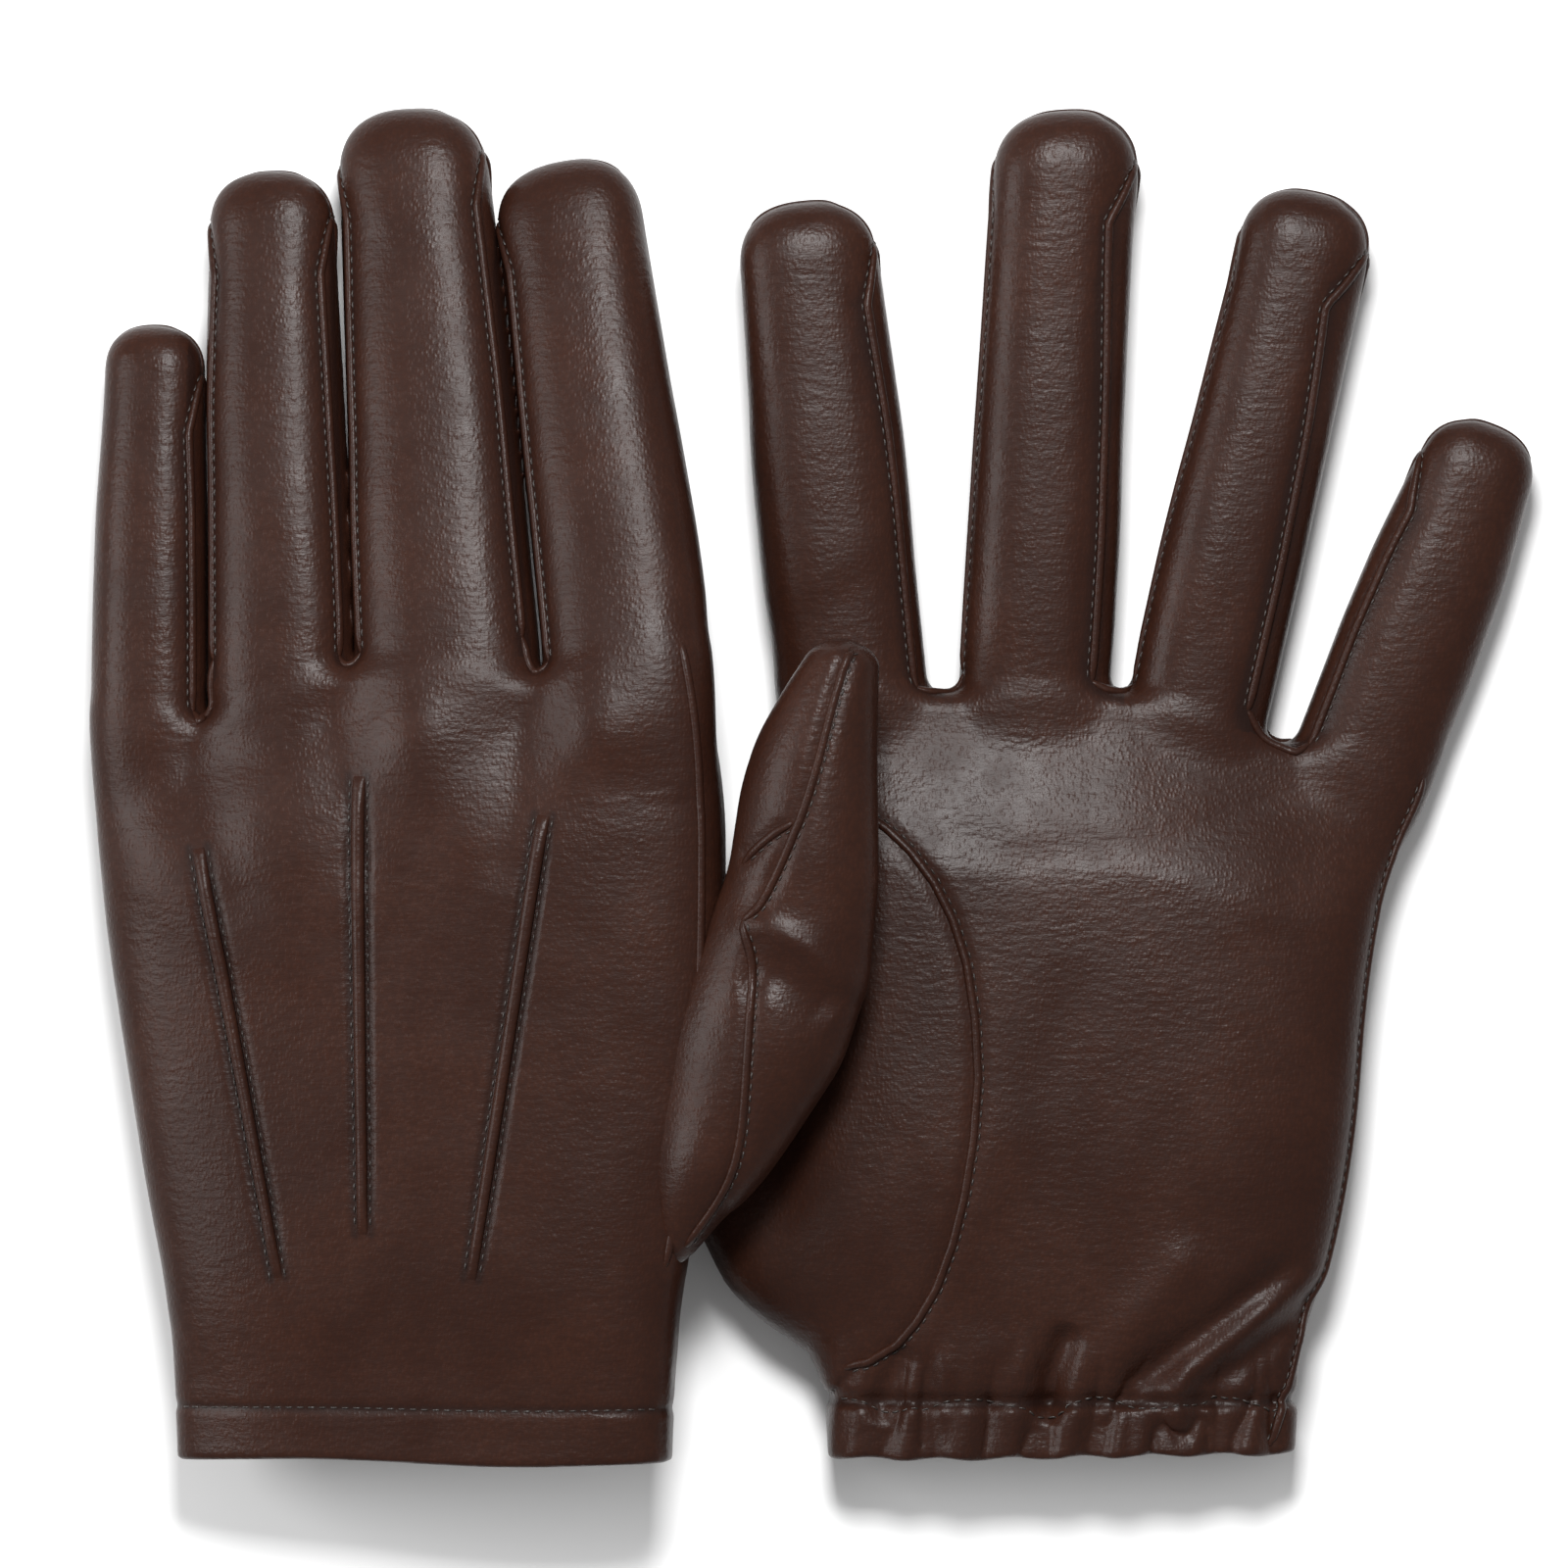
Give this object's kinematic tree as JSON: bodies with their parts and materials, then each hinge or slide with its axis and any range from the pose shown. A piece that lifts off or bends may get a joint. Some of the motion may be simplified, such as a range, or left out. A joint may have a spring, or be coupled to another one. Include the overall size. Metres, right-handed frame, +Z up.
{
  "type": "pair of dress gloves",
  "caption": "Smooth leather dress gloves with set-in thumbs, fourchettes and raised points, lying flat: one palm up, one palm down overlapping it.",
  "frame": {"origin": "on the table, under the middle of the pair", "axes": "+X along the table from the palm-down glove to the palm-up one, +Y towards the fingertips, +Z up from the table"},
  "size_m": [0.2662, 0.2491, 0.0486],
  "materials": {
    "leather": "satin nappa with fine grain",
    "lining": "brushed knit",
    "elastic": "woven rubber-cored band",
    "thread": "waxed twisted thread"
  },
  "bodies": {
    "palm_glove": {"palm_glove_palm_leather": "leather", "palm_glove_back_leather": "leather", "palm_glove_thumb_base": "leather", "palm_glove_cuff_hem": "leather", "palm_glove_wrist_elastic": "elastic", "palm_glove_lining": "lining", "palm_glove_points": "leather", "palm_glove_point_thread": "thread", "palm_glove_hem_thread": "thread"},
    "palm_glove_index": {"palm_glove_index_palm_side": "leather", "palm_glove_index_back_side": "leather", "palm_glove_index_fourchette_little_side": "leather"},
    "palm_glove_middle": {"palm_glove_middle_palm_side": "leather", "palm_glove_middle_back_side": "leather", "palm_glove_middle_fourchette_thumb_side": "leather", "palm_glove_middle_fourchette_little_side": "leather"},
    "palm_glove_ring": {"palm_glove_ring_palm_side": "leather", "palm_glove_ring_back_side": "leather", "palm_glove_ring_fourchette_thumb_side": "leather", "palm_glove_ring_fourchette_little_side": "leather"},
    "palm_glove_little": {"palm_glove_little_palm_side": "leather", "palm_glove_little_back_side": "leather", "palm_glove_little_fourchette_thumb_side": "leather"},
    "palm_glove_thumb": {"palm_glove_thumb_palm_side": "leather", "palm_glove_thumb_back_side": "leather"},
    "back_glove": {"back_glove_palm_leather": "leather", "back_glove_back_leather": "leather", "back_glove_thumb_base": "leather", "back_glove_cuff_hem": "leather", "back_glove_wrist_elastic": "elastic", "back_glove_lining": "lining", "back_glove_points": "leather", "back_glove_point_thread": "thread", "back_glove_hem_thread": "thread"},
    "back_glove_index": {"back_glove_index_palm_side": "leather", "back_glove_index_back_side": "leather", "back_glove_index_fourchette_little_side": "leather"},
    "back_glove_middle": {"back_glove_middle_palm_side": "leather", "back_glove_middle_back_side": "leather", "back_glove_middle_fourchette_thumb_side": "leather", "back_glove_middle_fourchette_little_side": "leather"},
    "back_glove_ring": {"back_glove_ring_palm_side": "leather", "back_glove_ring_back_side": "leather", "back_glove_ring_fourchette_thumb_side": "leather", "back_glove_ring_fourchette_little_side": "leather"},
    "back_glove_little": {"back_glove_little_palm_side": "leather", "back_glove_little_back_side": "leather", "back_glove_little_fourchette_thumb_side": "leather"},
    "back_glove_thumb": {"back_glove_thumb_palm_side": "leather", "back_glove_thumb_back_side": "leather"}
  },
  "joints": [
    {"name": "palm_glove_index_bend", "type": "hinge", "parent": "palm_glove", "child": "palm_glove_index", "pos_m": [0.00551, 0.02933, 0.0126], "axis": [0.9951, 0.0993, 0], "range_deg": [0, 60]},
    {"name": "palm_glove_middle_bend", "type": "hinge", "parent": "palm_glove", "child": "palm_glove_middle", "pos_m": [0.0411, 0.03033, 0.0126], "axis": [0.9982, -0.0593, 0], "range_deg": [0, 60]},
    {"name": "palm_glove_ring_bend", "type": "hinge", "parent": "palm_glove", "child": "palm_glove_ring", "pos_m": [0.07408, 0.02933, 0.0124], "axis": [0.9751, -0.2215, 0], "range_deg": [0, 60]},
    {"name": "palm_glove_little_bend", "type": "hinge", "parent": "palm_glove", "child": "palm_glove_little", "pos_m": [0.10658, 0.01834, 0.0116], "axis": [0.9336, -0.3584, 0], "range_deg": [0, 60]},
    {"name": "palm_glove_thumb_swing", "type": "hinge", "parent": "palm_glove", "child": "palm_glove_thumb", "pos_m": [-0.0199, -0.0534, 0.0074], "axis": [0, 0, 1], "range_deg": [-8, 8]},
    {"name": "back_glove_index_lift", "type": "hinge", "parent": "back_glove", "child": "back_glove_index", "pos_m": [-0.0354, 0.03154, 0.03209], "axis": [0.9744, 0.1633, 0.1543], "range_deg": [0, 35]},
    {"name": "back_glove_middle_lift", "type": "hinge", "parent": "back_glove", "child": "back_glove_middle", "pos_m": [-0.06855, 0.03346, 0.02685], "axis": [0.9833, 0.0941, 0.1557], "range_deg": [0, 35]},
    {"name": "back_glove_ring_lift", "type": "hinge", "parent": "back_glove", "child": "back_glove_ring", "pos_m": [-0.09894, 0.03333, 0.02204], "axis": [0.9872, 0.0314, 0.1564], "range_deg": [0, 35]},
    {"name": "back_glove_little_lift", "type": "hinge", "parent": "back_glove", "child": "back_glove_little", "pos_m": [-0.12323, 0.02326, 0.0182], "axis": [0.9877, -0.007, 0.1564], "range_deg": [0, 35]},
    {"name": "back_glove_thumb_lift", "type": "hinge", "parent": "back_glove", "child": "back_glove_thumb", "pos_m": [-0.00133, -0.0272, 0.04055], "axis": [0.9773, -0.1444, 0.1548], "range_deg": [0, 35]},
    {"name": "back_glove_lift", "type": "slide", "parent": "palm_glove", "child": "back_glove", "axis": [0, 0, 1], "range_m": [0, 0.12]}
  ]
}
